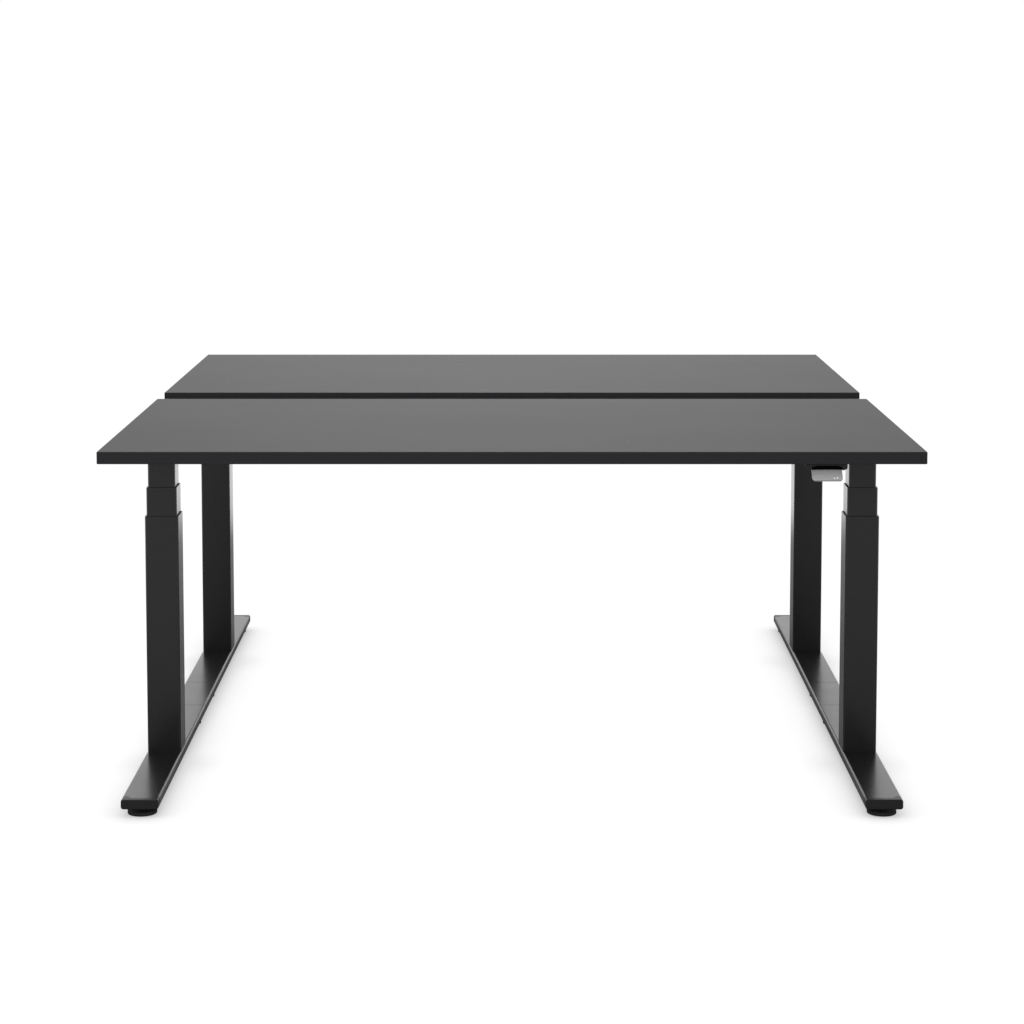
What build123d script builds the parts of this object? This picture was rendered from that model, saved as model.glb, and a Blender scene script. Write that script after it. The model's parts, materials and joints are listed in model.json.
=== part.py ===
"""Back-to-back bench of two height adjustable desks, each on two three-stage columns.

Millimetres. X runs along the desktops, Y from the front desk to the rear desk and Z up from the
floor. The desks are drawn at the pictured height, with every stage a little way out.
"""

import os

from build123d import *

# Desktops
top_width = 1600
top_depth = 800
top_thickness = 24
top_height = 728
top_gap = 110
top_corner_radius = 3
top_edge_radius = 1.5

# Columns: three nested square tubes, each stage pictured a little way out
outer_size = 70
tube_wall = 2
tube_radius = 3.5
stage_gap = 1.25
stage_extension = 60
stage_overlap = 175
column_inset = 35
bolt_edge = 15
stage_floor_gap = 4
plate_thickness = 6
glide_height = 22
glide_recess = 1
glide_thickness = 1

# Feet
foot_width = 74
foot_height = 20
foot_wall = 2.5
foot_radius = 5
foot_overhang = 22
seam_chamfer = 0.8
connector_length = 208
tongue_length = 70
tongue_screw_inset = 49
connector_wall = 5

# End caps: short on top, longer at the two ears
cap_length = 12.5
ear_length = 11.5
ear_width = 11
ear_slope = 6
cap_radius = 2.2
plug_length = 14

# Levellers
disc_diameter = 58
disc_height = 7
disc_rib_count = 60
disc_rib_depth = 0.8
disc_lip = 0.6
hub_diameter = 18
hub_height = 3.5
stem_diameter = 10
leveller_travel = 6
leveller_clearance = 0.5
leveller_tip_inset = 38
leveller_seam_inset = 18
boss_diameter = 18
boss_height = 7.5
stem_clearance = 2

# Drive inside each column
carrier_gap = 4.5
drive_wall = 3
drive_gap = 2
carrier_flange = 4
nut_length = 30
nut_wall = 3
nut_reserve = 5
collar_height = 3
collar_width = 4
spindle_end = 1
end_cap_height = 8
stage_clearance = 3
gearbox_height = 45
motor_length = 85
motor_clearance = 7
motor_end_height = 10
motor_end_step = 11.5
spindle_socket = 15
spigot_step = 3
spigot_recess = 1

# Support arms and column heads
arm_height = 40
arm_tip_height = 12
arm_sheet = 3
arm_setback = 100
arm_level = 130
arm_side_room = 4.5
arm_clearance = 7
head_thickness = 6
head_side_gap = 1
head_bolt_inset = 10.5
head_bolt_gap = 13
head_bolt_edge = 13
arm_screw_inset = 30
arm_screw_near = 150

# Cross rails
rail_offset = 85
rail_width = 40
rail_height = 25
rail_wall = 2
rail_drop = 3
rail_plate_width = 60
rail_plate_height = 30
rail_plate_thickness = 4
rail_screw_pitch = 48
rail_screw_stand = 2

# Control box
box_width = 240
box_depth = 100
box_height = 32
box_lug = 16
box_lug_thickness = 4
box_lug_depth = 50
box_radius = 4
box_rail_gap = 10
box_rib_count = 9
box_rib_width = 4
box_rib_height = 2
box_rib_length = 70
box_rib_pitch = 24
port_drop = 17.6
inlet_width = 27
inlet_height = 20
inlet_depth = 16
inlet_radius = 3
bay_width = 74
bay_height = 11
bay_depth = 10

# Handset
handset_inset = 191.5
handset_width = 78
handset_setback = 10
handset_length = 94
handset_height = 14
handset_base_width = 61
handset_flange = 9.5
handset_lip = 4
handset_lip_drop = 12
scoop_drop = 4
scoop_depth = 2
scoop_top_width = 38
scoop_base_width = 56
handset_wall = 2.5
handset_ear_width = 11
handset_ear_length = 24
handset_ear_thickness = 4
handset_ear_radius = 4
recess_length = 17
pivot_setback = 24
pivot_drop = 9.5
pin_diameter = 3
barrel_diameter = 7
paddle_width = 59
paddle_reach = 32
paddle_thickness = 3.5
paddle_angle = 46
paddle_corner_radius = 7
paddle_edge_radius = 0.8

# Fasteners and fits
fit = 0.1
slip = 0.2
m8_diameter = 8
m8_head_diameter = 13
m8_head_height = 5
m6_diameter = 6
m6_head_diameter = 10.5
m6_head_height = 3.5
wood_screw_diameter = 5
wood_head_diameter = 9
wood_head_height = 3
wood_bite = 15
small_screw_diameter = 3.5
small_head_diameter = 7
small_head_height = 2.2
small_bite = 11
key_share = 0.5
key_depth_share = 0.6
access_diameter = 15
hole_play = 0.2
screw_end_gap = 1
bolt_end_gap = 0.5
overcut = 1

# Derived places along the floor
column_x = top_width / 2 - column_inset - outer_size / 2
column_y = top_gap / 2 + top_depth / 2
foot_reach = top_depth / 2 - foot_overhang
foot_inner_end = column_y - connector_length / 2
foot_tube_front = foot_reach - cap_length
leveller_tip_y = leveller_tip_inset - foot_reach
leveller_seam_y = foot_inner_end - leveller_seam_inset
handset_x = top_width / 2 - handset_inset
top_front = column_y + top_depth / 2

# Derived heights of the feet
foot_bottom = disc_height + hub_height + leveller_travel + leveller_clearance
foot_top = foot_bottom + foot_height
foot_middle = foot_bottom + foot_height / 2
foot_floor = foot_bottom + foot_wall
foot_ceiling = foot_top - foot_wall
boss_top = foot_floor + boss_height
stem_top = foot_ceiling - leveller_travel - leveller_clearance
tongue_bottom = boss_top + slip
tongue_top = foot_ceiling - slip

# Derived column sizes
middle_size = outer_size - 2 * (tube_wall + stage_gap)
inner_size = middle_size - 2 * (tube_wall + stage_gap)
outer_inside = outer_size - 2 * tube_wall
middle_inside = middle_size - 2 * tube_wall
inner_inside = inner_size - 2 * tube_wall
inside_radius = tube_radius - tube_wall
bolt_pitch = outer_size - 2 * bolt_edge

# Derived column heights
under_top = top_height - top_thickness
outer_top = under_top - arm_height - arm_clearance - 2 * stage_extension
outer_length = outer_top - foot_top
stage_travel = outer_length - stage_overlap
base_top = foot_top + plate_thickness
middle_top = outer_top + stage_extension
middle_bottom = base_top + stage_floor_gap + stage_extension
inner_bottom = middle_bottom + plate_thickness + carrier_flange + stage_clearance + stage_extension
head_top = under_top - arm_sheet
head_bottom = head_top - head_thickness

# Derived drive sizes and heights
carrier_diameter = inner_inside - 2 * carrier_gap
carrier_bore = carrier_diameter - 2 * drive_wall
nut_tube_diameter = carrier_bore - 2 * drive_gap
nut_tube_bore = nut_tube_diameter - 2 * drive_wall
spigot_diameter = nut_tube_diameter - 2 * spigot_step
lower_diameter = nut_tube_bore - 2 * nut_wall
lower_bore = lower_diameter - 2 * drive_wall
upper_diameter = lower_bore - nut_wall
nut_bottom = base_top + drive_gap + stage_travel + nut_reserve
nut_top = nut_bottom + nut_length
carrier_top = nut_top + stage_clearance + end_cap_height + stage_extension
lower_bottom = base_top + drive_gap + stage_extension
lower_top = carrier_top + collar_height + spindle_end
upper_bottom = lower_bottom + drive_gap + stage_extension
gearbox_bottom = lower_top + stage_clearance + drive_gap + stage_extension
gearbox_top = gearbox_bottom + gearbox_height
gearbox_size = inner_inside - 2 * slip
motor_diameter = inner_inside - motor_clearance
motor_end_diameter = motor_diameter - 2 * motor_end_step

# Derived frame sizes
arm_inside = inner_size + 2 * arm_side_room
arm_width = arm_inside + 2 * arm_sheet
arm_reach = top_depth / 2 - arm_setback
head_bolt_x = inner_size / 2 - head_bolt_inset
head_bolt_y = inner_size / 2 + head_bolt_gap
head_width = arm_inside - 2 * head_side_gap
head_length = 2 * (head_bolt_y + head_bolt_edge)
rail_length = 2 * (column_x - arm_width / 2)
rail_middle = under_top - rail_drop - rail_height / 2
box_y = rail_offset + rail_width / 2 + box_rail_gap + box_depth / 2 - column_y
box_screw_x = box_width / 2 + box_lug / 2
handset_front = handset_setback - top_front
handset_middle = handset_front + handset_length / 2
handset_ear_x = handset_width / 2 + handset_ear_width / 2
pivot_y = pivot_setback - top_front
pivot_z = under_top - pivot_drop

# The four columns and the two desks; the rear ones are the front ones turned half round
corners = {
    "front_left": Location((-column_x, -column_y, 0)),
    "front_right": Location((column_x, -column_y, 0)),
    "rear_left": Location((-column_x, column_y, 0), (0, 0, 180)),
    "rear_right": Location((column_x, column_y, 0), (0, 0, 180)),
}
desks = {
    "front": Location((0, 0, 0)),
    "rear": Location((0, 0, 0), (0, 0, 180)),
}
leveller_places = {
    "tip": Location((0, leveller_tip_y, 0)),
    "seam": Location((0, leveller_seam_y, 0)),
}


def save(part, node):
    """Name one sub-part after its node and write it."""
    part.label = node
    export_step(part, f"parts/{node}.step")


def make_screw(diameter, length, head_diameter, head_height):
    """Socket screw pointing up, the bearing face of its head at the origin."""
    with BuildPart() as screw:
        with BuildSketch():
            Circle(diameter / 2)
        extrude(amount=length)
        with BuildSketch():
            Circle(head_diameter / 2)
        extrude(amount=-head_height)
        with BuildSketch(Plane.XY.offset(-head_height)):
            RegularPolygon(head_diameter * key_share / 2, 6)
        extrude(amount=head_height * key_depth_share, mode=Mode.SUBTRACT)
    return screw.part


def make_foot():
    """Flat steel tube under one column, closed by an end cap at its tip."""
    tongue_half = foot_width / 2 - ear_width
    with BuildPart() as foot:
        with BuildSketch(Plane.XZ.offset(-foot_inner_end)):
            with Locations((0, foot_middle)):
                RectangleRounded(foot_width, foot_height, foot_radius)
                RectangleRounded(
                    foot_width - 2 * foot_wall,
                    foot_height - 2 * foot_wall,
                    foot_radius - foot_wall,
                    mode=Mode.SUBTRACT,
                )
        extrude(amount=foot_inner_end + foot_tube_front)
        # Softened rim at the seam with the connector
        seam_edges = foot.faces().sort_by(Axis.Y)[-1].outer_wire().edges()
        chamfer(seam_edges, length=seam_chamfer)
        # The tip is cut back on both sides for the ears of the end cap
        with BuildSketch(Plane.XY.offset(foot_bottom - overcut)):
            for side in (-1, 1):
                with BuildLine():
                    Polyline(
                        (side * (tongue_half - ear_slope), -foot_tube_front - overcut),
                        (side * (tongue_half - ear_slope), -foot_tube_front),
                        (side * tongue_half, -foot_tube_front + ear_length),
                        (side * (foot_width / 2 + overcut), -foot_tube_front + ear_length),
                        (side * (foot_width / 2 + overcut), -foot_tube_front - overcut),
                        close=True,
                    )
                make_face()
        extrude(amount=foot_height + 2 * overcut, mode=Mode.SUBTRACT)
        # Threaded bosses of the two levellers
        with BuildSketch(Plane.XY.offset(foot_floor)):
            with Locations((0, leveller_tip_y), (0, leveller_seam_y)):
                Circle(boss_diameter / 2)
        extrude(amount=boss_height)
        with BuildSketch(Plane.XY.offset(foot_bottom)):
            with Locations((0, leveller_tip_y), (0, leveller_seam_y)):
                Circle(stem_diameter / 2 + fit)
        extrude(amount=foot_wall + boss_height, mode=Mode.SUBTRACT)
        # Column bolts through the upper wall, with access holes below them
        with BuildSketch(Plane.XY.offset(foot_ceiling)):
            with GridLocations(bolt_pitch, bolt_pitch, 2, 2):
                Circle(m8_diameter / 2 + hole_play)
        extrude(amount=foot_wall, mode=Mode.SUBTRACT)
        with BuildSketch(Plane.XY.offset(foot_bottom)):
            with GridLocations(bolt_pitch, bolt_pitch, 2, 2):
                Circle(access_diameter / 2)
            with Locations((0, foot_inner_end - tongue_screw_inset)):
                with GridLocations(bolt_pitch, 1, 2, 1):
                    Circle(m6_diameter / 2 + hole_play)
        extrude(amount=foot_wall, mode=Mode.SUBTRACT)
    return foot.part


def make_end_cap():
    """Plastic cap on the tip of a foot, with a plug inside the tube and an ear on each side."""
    tongue_half = foot_width / 2 - ear_width
    with BuildPart() as cap:
        with BuildSketch(Plane.XZ.offset(foot_reach)):
            with Locations((0, foot_middle)):
                RectangleRounded(foot_width, foot_height, foot_radius)
        extrude(amount=-(cap_length + ear_length - slip))
        with BuildSketch(Plane.XY.offset(foot_bottom - overcut)):
            with BuildLine():
                Polyline(
                    (slip + tongue_half, -foot_tube_front + ear_length),
                    (slip + tongue_half - ear_slope, -foot_tube_front - slip),
                    (ear_slope - tongue_half - slip, -foot_tube_front - slip),
                    (-tongue_half - slip, -foot_tube_front + ear_length),
                    close=True,
                )
            make_face()
        extrude(amount=foot_height + 2 * overcut, mode=Mode.SUBTRACT)
        tip_edges = cap.faces().sort_by(Axis.Y)[0].edges()
        fillet(tip_edges, radius=cap_radius)
        with BuildSketch(Plane.XZ.offset(foot_tube_front + slip)):
            with Locations((0, foot_middle)):
                RectangleRounded(
                    foot_width - 2 * (foot_wall + slip),
                    foot_height - 2 * (foot_wall + slip),
                    foot_radius - foot_wall,
                )
        extrude(amount=-(plug_length + slip))
    return cap.part


def make_connector():
    """Cast middle piece of a long foot, with a tongue in each half foot."""
    pocket_length = (connector_length - 3 * connector_wall) / 2
    with BuildPart() as connector:
        with BuildSketch(Plane.XZ.offset(-connector_length / 2)):
            with Locations((0, foot_middle)):
                RectangleRounded(foot_width, foot_height, foot_radius)
        extrude(amount=connector_length)
        for end in (0, -1):
            seam_edges = connector.faces().sort_by(Axis.Y)[end].edges()
            chamfer(seam_edges, length=seam_chamfer)
        with BuildSketch(Plane.XY.offset(foot_bottom)):
            with GridLocations(1, pocket_length + connector_wall, 1, 2):
                Rectangle(foot_width - 2 * connector_wall, pocket_length)
        extrude(amount=foot_height - connector_wall, mode=Mode.SUBTRACT)
        with BuildSketch(Plane.XY.offset(tongue_bottom)):
            with GridLocations(1, connector_length + tongue_length, 1, 2):
                Rectangle(foot_width - 2 * foot_radius, tongue_length)
        extrude(amount=tongue_top - tongue_bottom)
        with BuildSketch(Plane.XY.offset(tongue_bottom)):
            for end in (-1, 1):
                with Locations((0, end * (connector_length / 2 + leveller_seam_inset))):
                    Circle(stem_diameter / 2 + stem_clearance)
                with Locations((0, end * (connector_length / 2 + tongue_screw_inset))):
                    with GridLocations(bolt_pitch, 1, 2, 1):
                        Circle(m6_diameter / 2 + fit)
        extrude(amount=tongue_top - tongue_bottom, mode=Mode.SUBTRACT)
    return connector.part


def make_leveller():
    """Threaded foot with a ribbed disc on the floor, its stem in the foot's boss."""
    with BuildPart() as leveller:
        with BuildSketch():
            Circle(disc_diameter / 2 - disc_lip)
        extrude(amount=disc_lip)
        with BuildSketch(Plane.XY.offset(disc_lip)):
            Circle(disc_diameter / 2)
            with PolarLocations(disc_diameter / 2, disc_rib_count):
                Circle(disc_rib_depth, mode=Mode.SUBTRACT)
        extrude(amount=disc_height - 2 * disc_lip)
        with BuildSketch(Plane.XY.offset(disc_height - disc_lip)):
            Circle(disc_diameter / 2 - disc_lip)
        extrude(amount=disc_lip)
        with BuildSketch(Plane.XY.offset(disc_height)):
            Circle(hub_diameter / 2)
        extrude(amount=hub_height)
        with BuildSketch(Plane.XY.offset(disc_height)):
            Circle(stem_diameter / 2)
        extrude(amount=stem_top - disc_height)
    return leveller.part


def make_outer_tube():
    """Fixed outer tube of a column, with its base plate welded in."""
    with BuildPart() as tube:
        with BuildSketch(Plane.XY.offset(foot_top)):
            RectangleRounded(outer_size, outer_size, tube_radius)
        extrude(amount=outer_length)
        with BuildSketch(Plane.XY.offset(base_top)):
            RectangleRounded(outer_inside, outer_inside, inside_radius)
        extrude(amount=outer_length, mode=Mode.SUBTRACT)
        with BuildSketch(Plane.XY.offset(foot_top)):
            Circle(spigot_diameter / 2 + fit)
            with GridLocations(bolt_pitch, bolt_pitch, 2, 2):
                Circle(m8_diameter / 2 + fit)
        extrude(amount=plate_thickness, mode=Mode.SUBTRACT)
    return tube.part


def make_nut_tube():
    """Fixed tube on the base plate, with the lower spindle's nut at its top."""
    with BuildPart() as nut_tube:
        with BuildSketch(Plane.XY.offset(foot_top + spigot_recess)):
            Circle(spigot_diameter / 2)
        extrude(amount=plate_thickness - spigot_recess)
        with BuildSketch(Plane.XY.offset(base_top)):
            Circle(nut_tube_diameter / 2)
        extrude(amount=nut_top - base_top)
        with BuildSketch(Plane.XY.offset(base_top + drive_gap / 2)):
            Circle(nut_tube_bore / 2)
        extrude(amount=nut_bottom - base_top - drive_gap / 2, mode=Mode.SUBTRACT)
        with BuildSketch(Plane.XY.offset(nut_bottom)):
            Circle(lower_diameter / 2 + fit)
        extrude(amount=nut_length, mode=Mode.SUBTRACT)
    return nut_tube.part


def make_glide_ring():
    """Plastic ring in the mouth of an outer tube, which guides the middle tube."""
    with BuildPart() as ring:
        with BuildSketch(Plane.XY.offset(outer_top - glide_recess - glide_height)):
            RectangleRounded(outer_inside, outer_inside, inside_radius)
            RectangleRounded(
                outer_inside - 2 * glide_thickness,
                outer_inside - 2 * glide_thickness,
                tube_radius,
                mode=Mode.SUBTRACT,
            )
        extrude(amount=glide_height)
    return ring.part


def make_middle_tube():
    """Middle stage of a column, with a plate at its foot for the carrier."""
    with BuildPart() as tube:
        with BuildSketch(Plane.XY.offset(middle_bottom)):
            RectangleRounded(middle_size, middle_size, tube_radius)
        extrude(amount=middle_top - middle_bottom)
        with BuildSketch(Plane.XY.offset(middle_bottom + plate_thickness)):
            RectangleRounded(middle_inside, middle_inside, inside_radius)
        extrude(amount=middle_top - middle_bottom, mode=Mode.SUBTRACT)
        with BuildSketch(Plane.XY.offset(middle_bottom)):
            Circle(carrier_diameter / 2 + fit)
        extrude(amount=plate_thickness, mode=Mode.SUBTRACT)
    return tube.part


def make_carrier():
    """Tube on the middle stage's plate, hung from the lower spindle at its closed top."""
    plate_top = middle_bottom + plate_thickness
    with BuildPart() as carrier:
        with BuildSketch(Plane.XY.offset(middle_bottom)):
            Circle(carrier_diameter / 2)
        extrude(amount=carrier_top - middle_bottom)
        with BuildSketch(Plane.XY.offset(plate_top)):
            RectangleRounded(middle_inside - 2 * slip, middle_inside - 2 * slip, inside_radius)
        extrude(amount=carrier_flange)
        with BuildSketch(Plane.XY.offset(middle_bottom)):
            Circle(carrier_bore / 2)
        extrude(amount=carrier_top - end_cap_height - middle_bottom, mode=Mode.SUBTRACT)
        with BuildSketch(Plane.XY.offset(middle_bottom)):
            Circle(lower_diameter / 2 + fit)
        extrude(amount=carrier_top - middle_bottom, mode=Mode.SUBTRACT)
    return carrier.part


def make_lower_spindle():
    """Hollow spindle of the lower stage, its collar on the carrier and a nut in its top."""
    with BuildPart() as spindle:
        with BuildSketch(Plane.XY.offset(lower_bottom)):
            Circle(lower_diameter / 2)
        extrude(amount=lower_top - lower_bottom)
        with BuildSketch(Plane.XY.offset(carrier_top)):
            Circle(lower_diameter / 2 + collar_width)
        extrude(amount=collar_height)
        with BuildSketch(Plane.XY.offset(lower_bottom)):
            Circle(lower_bore / 2)
        extrude(amount=lower_top - nut_length - lower_bottom, mode=Mode.SUBTRACT)
        with BuildSketch(Plane.XY.offset(lower_bottom)):
            Circle(upper_diameter / 2 + fit)
        extrude(amount=lower_top - lower_bottom, mode=Mode.SUBTRACT)
    return spindle.part


def make_upper_spindle():
    """Spindle of the upper stage, from the gearbox down into the lower spindle."""
    with BuildPart() as spindle:
        with BuildSketch(Plane.XY.offset(upper_bottom)):
            Circle(upper_diameter / 2)
        extrude(amount=gearbox_bottom + spindle_socket - upper_bottom)
    return spindle.part


def make_motor():
    """Motor and gearbox in the head of the inner tube."""
    with BuildPart() as motor:
        with BuildSketch(Plane.XY.offset(gearbox_bottom)):
            RectangleRounded(gearbox_size, gearbox_size, inside_radius)
        extrude(amount=gearbox_height)
        with BuildSketch(Plane.XY.offset(gearbox_top)):
            Circle(motor_diameter / 2)
        extrude(amount=motor_length)
        with BuildSketch(Plane.XY.offset(gearbox_top + motor_length)):
            Circle(motor_end_diameter / 2)
        extrude(amount=motor_end_height)
        with BuildSketch(Plane.XY.offset(gearbox_bottom)):
            Circle(upper_diameter / 2 + fit)
        extrude(amount=spindle_socket, mode=Mode.SUBTRACT)
    return motor.part


def make_inner_tube():
    """Inner stage of a column, with the head plate that bolts to the support arm."""
    with BuildPart() as tube:
        with BuildSketch(Plane.XY.offset(inner_bottom)):
            RectangleRounded(inner_size, inner_size, tube_radius)
            RectangleRounded(inner_inside, inner_inside, inside_radius, mode=Mode.SUBTRACT)
        extrude(amount=head_bottom - inner_bottom)
        with BuildSketch(Plane.XY.offset(head_bottom)):
            RectangleRounded(head_width, head_length, tube_radius)
            with GridLocations(2 * head_bolt_x, 2 * head_bolt_y, 2, 2):
                Circle(m8_diameter / 2 + hole_play, mode=Mode.SUBTRACT)
        extrude(amount=head_thickness)
    return tube.part


def make_support_arm():
    """Pressed channel under a desktop, deep over the column and shallow at both tips."""
    with BuildPart() as arm:
        for half_width, drop, mode in (
            (arm_width / 2, 0, Mode.ADD),
            (arm_inside / 2, arm_sheet, Mode.SUBTRACT),
        ):
            top = under_top - drop
            with BuildSketch(Plane.YZ.offset(-half_width)):
                with BuildLine():
                    Polyline(
                        (-arm_reach - drop, top),
                        (arm_reach + drop, top),
                        (arm_reach + drop, under_top - arm_tip_height - drop),
                        (arm_level, under_top - arm_height - drop),
                        (-arm_level, under_top - arm_height - drop),
                        (-arm_reach - drop, under_top - arm_tip_height - drop),
                        close=True,
                    )
                make_face()
            extrude(amount=2 * half_width, mode=mode)
        with BuildSketch(Plane.XY.offset(under_top)):
            with GridLocations(2 * head_bolt_x, 2 * head_bolt_y, 2, 2):
                Circle(m8_diameter / 2 + fit)
            with Locations(*arm_screw_places()):
                Circle(wood_screw_diameter / 2 + hole_play)
        extrude(amount=-arm_sheet, mode=Mode.SUBTRACT)
        with BuildSketch(Plane.YZ.offset(-arm_width / 2)):
            with Locations((-rail_offset, rail_middle), (rail_offset, rail_middle)):
                with GridLocations(rail_screw_pitch, 1, 2, 1):
                    Circle(m6_diameter / 2 + hole_play)
        extrude(amount=arm_width, mode=Mode.SUBTRACT)
    return arm.part


def arm_screw_places():
    """Wood screws along a support arm, in the column's own coordinates."""
    far = arm_reach - arm_screw_inset
    return [(0, -far), (0, -arm_screw_near), (0, arm_screw_near), (0, far)]


def rail_places():
    """Centre lines of the front desk's two cross rails."""
    return [-column_y - rail_offset, -column_y + rail_offset]


def make_rails():
    """Two rectangular tubes between the support arms, with a plate on each end."""
    inner_length = rail_length / 2 - rail_plate_thickness
    with BuildPart() as rails:
        with BuildSketch(Plane.YZ.offset(-inner_length)):
            with Locations(*[(y, rail_middle) for y in rail_places()]):
                Rectangle(rail_width, rail_height)
                Rectangle(
                    rail_width - 2 * rail_wall,
                    rail_height - 2 * rail_wall,
                    mode=Mode.SUBTRACT,
                )
        extrude(amount=2 * inner_length)
        for start in (-rail_length / 2, inner_length):
            with BuildSketch(Plane.YZ.offset(start)):
                with Locations(*[(y, rail_middle) for y in rail_places()]):
                    Rectangle(rail_plate_width, rail_plate_height)
                    with GridLocations(rail_screw_pitch, 1, 2, 1):
                        Circle(m6_diameter / 2 + fit, mode=Mode.SUBTRACT)
            extrude(amount=rail_plate_thickness)
    return rails.part


def make_control_box():
    """Control box under a desktop: ribbed lid, mains inlet at one end, lead bay at the other."""
    box_bottom = under_top - box_height
    with BuildPart() as box:
        with BuildSketch(Plane.XY.offset(box_bottom)):
            with Locations((0, box_y)):
                RectangleRounded(box_width, box_depth, box_radius)
        extrude(amount=box_height)
        with BuildSketch(Plane.XY.offset(under_top - box_lug_thickness)):
            with Locations((0, box_y)):
                RectangleRounded(box_width + 2 * box_lug, box_lug_depth, box_radius)
                with GridLocations(2 * box_screw_x, 1, 2, 1):
                    Circle(small_screw_diameter / 2 + hole_play, mode=Mode.SUBTRACT)
        extrude(amount=box_lug_thickness)
        with BuildSketch(Plane.XY.offset(box_bottom - box_rib_height)):
            with Locations((0, box_y)):
                with GridLocations(box_rib_pitch, 1, box_rib_count, 1):
                    Rectangle(box_rib_width, box_rib_length)
        extrude(amount=box_rib_height)
        with BuildSketch(Plane.YZ.offset(-box_width / 2)):
            with Locations((box_y, under_top - port_drop)):
                RectangleRounded(inlet_width, inlet_height, inlet_radius)
        extrude(amount=inlet_depth, mode=Mode.SUBTRACT)
        with BuildSketch(Plane.YZ.offset(box_width / 2)):
            with Locations((box_y, under_top - port_drop)):
                Rectangle(bay_width, bay_height)
        extrude(amount=-bay_depth, mode=Mode.SUBTRACT)
    return box.part


def make_handset_case():
    """Case of the handset: tapered body, scooped lip, two ears and a pin across its open front."""
    cavity_front = handset_front + handset_lip
    hollow_front = cavity_front + recess_length + handset_wall
    hollow_back = handset_front + handset_length - handset_wall
    pin_half = handset_base_width / 2
    with BuildPart() as case:
        with BuildSketch(Plane.XZ.offset(-handset_front)):
            with BuildLine():
                Polyline(
                    (handset_x - handset_width / 2, under_top),
                    (handset_x + handset_width / 2, under_top),
                    (handset_x + handset_width / 2, under_top - handset_flange),
                    (handset_x + handset_base_width / 2 + handset_wall, under_top - handset_height),
                    (handset_x - handset_base_width / 2 - handset_wall, under_top - handset_height),
                    (handset_x - handset_width / 2, under_top - handset_flange),
                    close=True,
                )
            make_face()
        extrude(amount=-handset_length)
        with BuildSketch(Plane.XY.offset(under_top - handset_ear_thickness)):
            with Locations((handset_x, handset_middle)):
                RectangleRounded(
                    handset_width + 2 * handset_ear_width, handset_ear_length, handset_ear_radius
                )
                with GridLocations(2 * handset_ear_x, 1, 2, 1):
                    Circle(small_screw_diameter / 2 + hole_play, mode=Mode.SUBTRACT)
        extrude(amount=handset_ear_thickness)
        # Open recess for the paddle behind a short front lip
        with BuildSketch(Plane.XY.offset(under_top - handset_height)):
            with Locations((handset_x, cavity_front + recess_length / 2)):
                Rectangle(handset_base_width, recess_length)
        extrude(amount=handset_height - handset_wall, mode=Mode.SUBTRACT)
        with BuildSketch(Plane.XY.offset(under_top - handset_height)):
            with Locations((handset_x, handset_front + handset_lip / 2)):
                Rectangle(handset_width, handset_lip)
        extrude(amount=handset_height - handset_lip_drop, mode=Mode.SUBTRACT)
        # Shallow finger scoop in the lip, wider towards the paddle
        with BuildSketch(Plane.XZ.offset(-handset_front)):
            with BuildLine():
                Polyline(
                    (handset_x - scoop_top_width / 2, under_top - scoop_drop),
                    (handset_x + scoop_top_width / 2, under_top - scoop_drop),
                    (handset_x + scoop_base_width / 2, under_top - handset_height),
                    (handset_x - scoop_base_width / 2, under_top - handset_height),
                    close=True,
                )
            make_face()
        extrude(amount=-scoop_depth, mode=Mode.SUBTRACT)
        # Hollow for the circuit board, open towards the desktop
        with BuildSketch(Plane.XY.offset(under_top)):
            with Locations((handset_x, (hollow_front + hollow_back) / 2)):
                Rectangle(handset_base_width - handset_wall, hollow_back - hollow_front)
        extrude(amount=-(handset_height - handset_wall), mode=Mode.SUBTRACT)
        with BuildSketch(Plane.YZ.offset(handset_x - pin_half)):
            with Locations((pivot_y, pivot_z)):
                Circle(pin_diameter / 2)
        extrude(amount=2 * pin_half)
    return case.part


def make_paddle():
    """Tilting paddle, a rounded plate sloping forward from the barrel on the handset's pin."""
    slope = Plane(
        origin=(handset_x, pivot_y, pivot_z),
        x_dir=(1, 0, 0),
        z_dir=(0, 0, 1),
    ).rotated((paddle_angle, 0, 0))
    plate_normal = Axis(slope.origin, slope.z_dir)
    with BuildPart() as paddle:
        with BuildSketch(slope.offset(-paddle_thickness / 2)):
            with Locations((0, -paddle_reach / 2)):
                Rectangle(paddle_width, paddle_reach)
        extrude(amount=paddle_thickness)
        tip_edges = paddle.edges().filter_by(plate_normal).sort_by(Axis.Y)[:2]
        fillet(tip_edges, radius=paddle_corner_radius)
        upper_face = paddle.faces().sort_by(plate_normal)[-1]
        fillet(upper_face.edges(), radius=paddle_edge_radius)
        with BuildSketch(Plane.YZ.offset(handset_x - paddle_width / 2)):
            with Locations((pivot_y, pivot_z)):
                Circle(barrel_diameter / 2)
        extrude(amount=paddle_width)
        with BuildSketch(Plane.YZ.offset(handset_x - paddle_width / 2)):
            with Locations((pivot_y, pivot_z)):
                Circle(pin_diameter / 2 + fit)
        extrude(amount=paddle_width, mode=Mode.SUBTRACT)
    return paddle.part


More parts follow.
